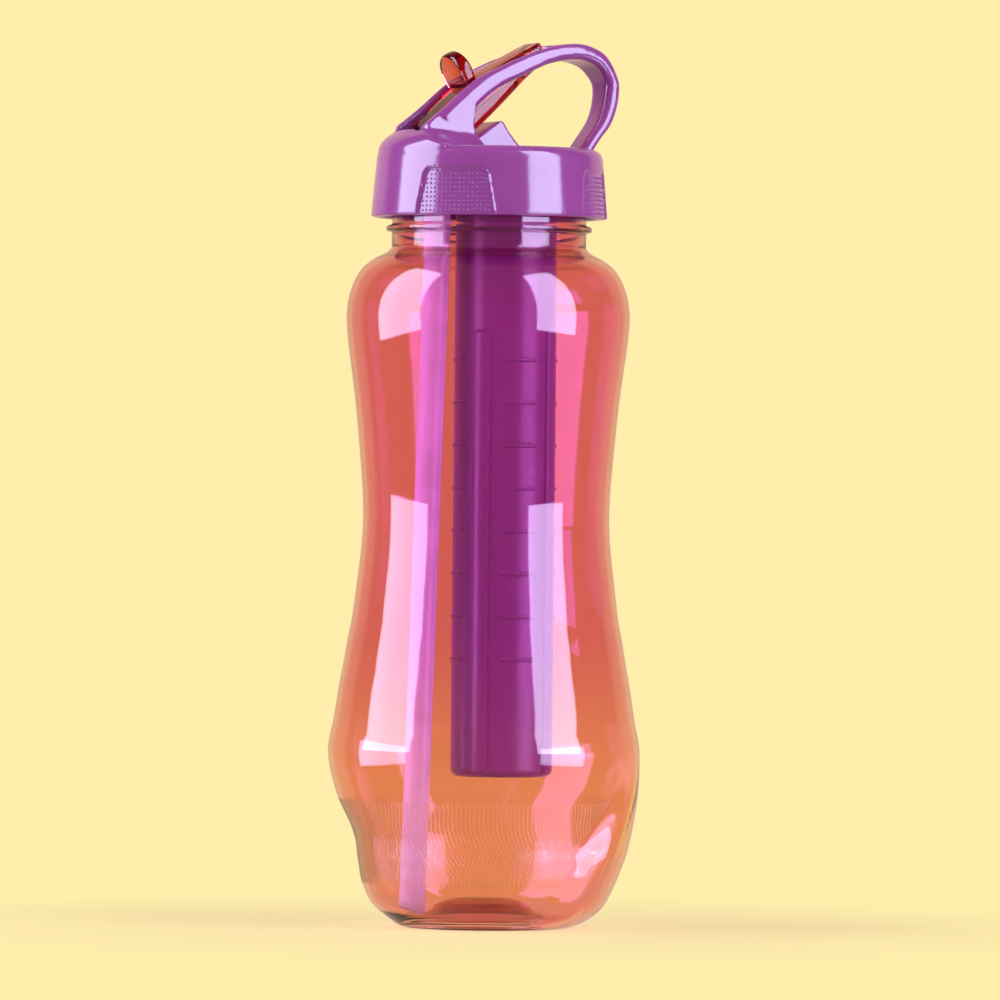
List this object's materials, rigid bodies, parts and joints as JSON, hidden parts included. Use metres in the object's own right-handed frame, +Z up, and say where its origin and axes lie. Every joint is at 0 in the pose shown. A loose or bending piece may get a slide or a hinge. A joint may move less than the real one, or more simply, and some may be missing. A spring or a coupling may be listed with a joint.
{
  "type": "water bottle with freezer stick",
  "caption": "Waisted clear drinking bottle with a screw lid, flip spout on a straw, carrying loop, and a removable cooling stick under the lid.",
  "frame": {"origin": "on the bottle's axis, in the plane that it stands on", "axes": "+Z up the bottle's axis, +X to the back of the carrying loop, the spout's hinge on the -X side"},
  "size_m": [0.0844, 0.0844, 0.2395],
  "materials": {
    "bottle_plastic": "clear coral tint",
    "lid_plastic": "satin purple, fine moulded texture",
    "straw_plastic": "translucent lilac",
    "spout_plastic": "clear dark red",
    "stick_plastic": "satin magenta",
    "stick_cap_plastic": "satin purple",
    "silicone": "matt milky",
    "coolant": "pale blue gel"
  },
  "bodies": {
    "bottle": {"bottle_body": "bottle_plastic"},
    "lid_carrier": {"lid_seal_ring": "silicone"},
    "lid": {"lid_shell": "lid_plastic", "spout_seat_seal": "silicone", "vent_valve": "silicone", "drinking_straw": "straw_plastic"},
    "flip_spout": {"spout": "spout_plastic"},
    "freezer_stick": {"stick_tube": "stick_plastic", "stick_cap": "stick_cap_plastic", "stick_seal": "silicone", "coolant_gel": "coolant"}
  },
  "joints": [
    {"name": "lid_rise", "type": "slide", "parent": "bottle", "child": "lid_carrier", "axis": [0, 0, 1], "range_m": [0, 0.0074]},
    {"name": "lid_turn", "type": "hinge", "parent": "lid_carrier", "child": "lid", "pos_m": [0, 0, 0.1925], "axis": [0, 0, 1], "range_deg": [0, 330]},
    {"name": "spout_flip", "type": "hinge", "parent": "lid", "child": "flip_spout", "pos_m": [-0.0157, 0, 0.2145], "axis": [0, -1, 0], "range_deg": [0, 70]},
    {"name": "stick_pull", "type": "slide", "parent": "lid", "child": "freezer_stick", "axis": [0, 0, -1], "range_m": [0, 0.01]}
  ],
  "couplings": [
    {"joint": "lid_rise", "follows": "lid_turn", "m_per_rad": 0.0012732}
  ]
}
